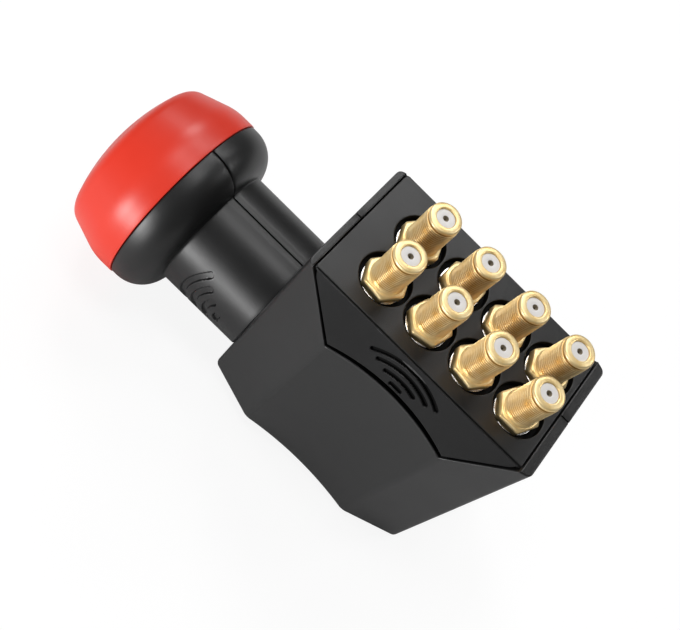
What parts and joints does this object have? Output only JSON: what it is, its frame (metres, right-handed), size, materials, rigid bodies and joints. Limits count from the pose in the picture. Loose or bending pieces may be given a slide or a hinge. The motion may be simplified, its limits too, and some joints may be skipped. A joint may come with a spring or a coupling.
{
  "type": "satellite lnb",
  "caption": "Satellite receiving head with a domed red feed cap, a neck for a dish clamp and a black body with two rows of threaded coaxial sockets.",
  "frame": {"origin": "on the neck's axis, where the neck meets the front face of the body", "axes": "+X along the neck from the cap to the back of the body, +Z the way the sockets point, -Y the near side in the picture"},
  "size_m": [0.1414, 0.0596, 0.0989],
  "materials": {
    "cap_red": "moulded red, softly glossy",
    "shell_black": "fine spark-eroded texture, satin",
    "cover_black": "fine spark-eroded texture, satin",
    "seal_rubber": "smooth",
    "bare_casting": "as cast",
    "dark_casting": "black coated",
    "steel_screw": "zinc plated",
    "board_green": "solder mask",
    "chip_black": "moulded",
    "crystal_can": "plated",
    "contact_bronze": "gold plated",
    "socket_gold": "gold plated, threaded",
    "insulator_white": "moulded",
    "washer_steel": "nickel plated"
  },
  "bodies": {
    "root": {"feed_cap": "cap_red", "cap_seal": "seal_rubber", "shell_near": "shell_black", "shell_far": "shell_black", "socket_cover": "cover_black", "feed_casting": "bare_casting", "upper_casting": "dark_casting", "casting_gasket": "seal_rubber", "casting_screws": "steel_screw", "rf_board": "board_green", "rf_board_screws": "steel_screw", "switch_board": "board_green", "switch_board_screws": "steel_screw", "board_link": "chip_black", "mixer_chip": "chip_black", "crystal": "crystal_can", "switch_chip": "chip_black", "probe_upright": "contact_bronze", "probe_level": "contact_bronze", "bush_upright": "insulator_white", "bush_level": "insulator_white", "guide_rod": "steel_screw", "socket_1": "socket_gold", "insulator_1": "insulator_white", "contact_1": "contact_bronze", "washer_1": "washer_steel", "socket_2": "socket_gold", "insulator_2": "insulator_white", "contact_2": "contact_bronze", "washer_2": "washer_steel", "socket_3": "socket_gold", "insulator_3": "insulator_white", "contact_3": "contact_bronze", "washer_3": "washer_steel", "socket_4": "socket_gold", "insulator_4": "insulator_white", "contact_4": "contact_bronze", "washer_4": "washer_steel", "socket_5": "socket_gold", "insulator_5": "insulator_white", "contact_5": "contact_bronze", "washer_5": "washer_steel", "socket_6": "socket_gold", "insulator_6": "insulator_white", "contact_6": "contact_bronze", "washer_6": "washer_steel", "socket_7": "socket_gold", "insulator_7": "insulator_white", "contact_7": "contact_bronze", "washer_7": "washer_steel", "socket_8": "socket_gold", "insulator_8": "insulator_white", "contact_8": "contact_bronze", "washer_8": "washer_steel"}
  },
  "joints": []
}
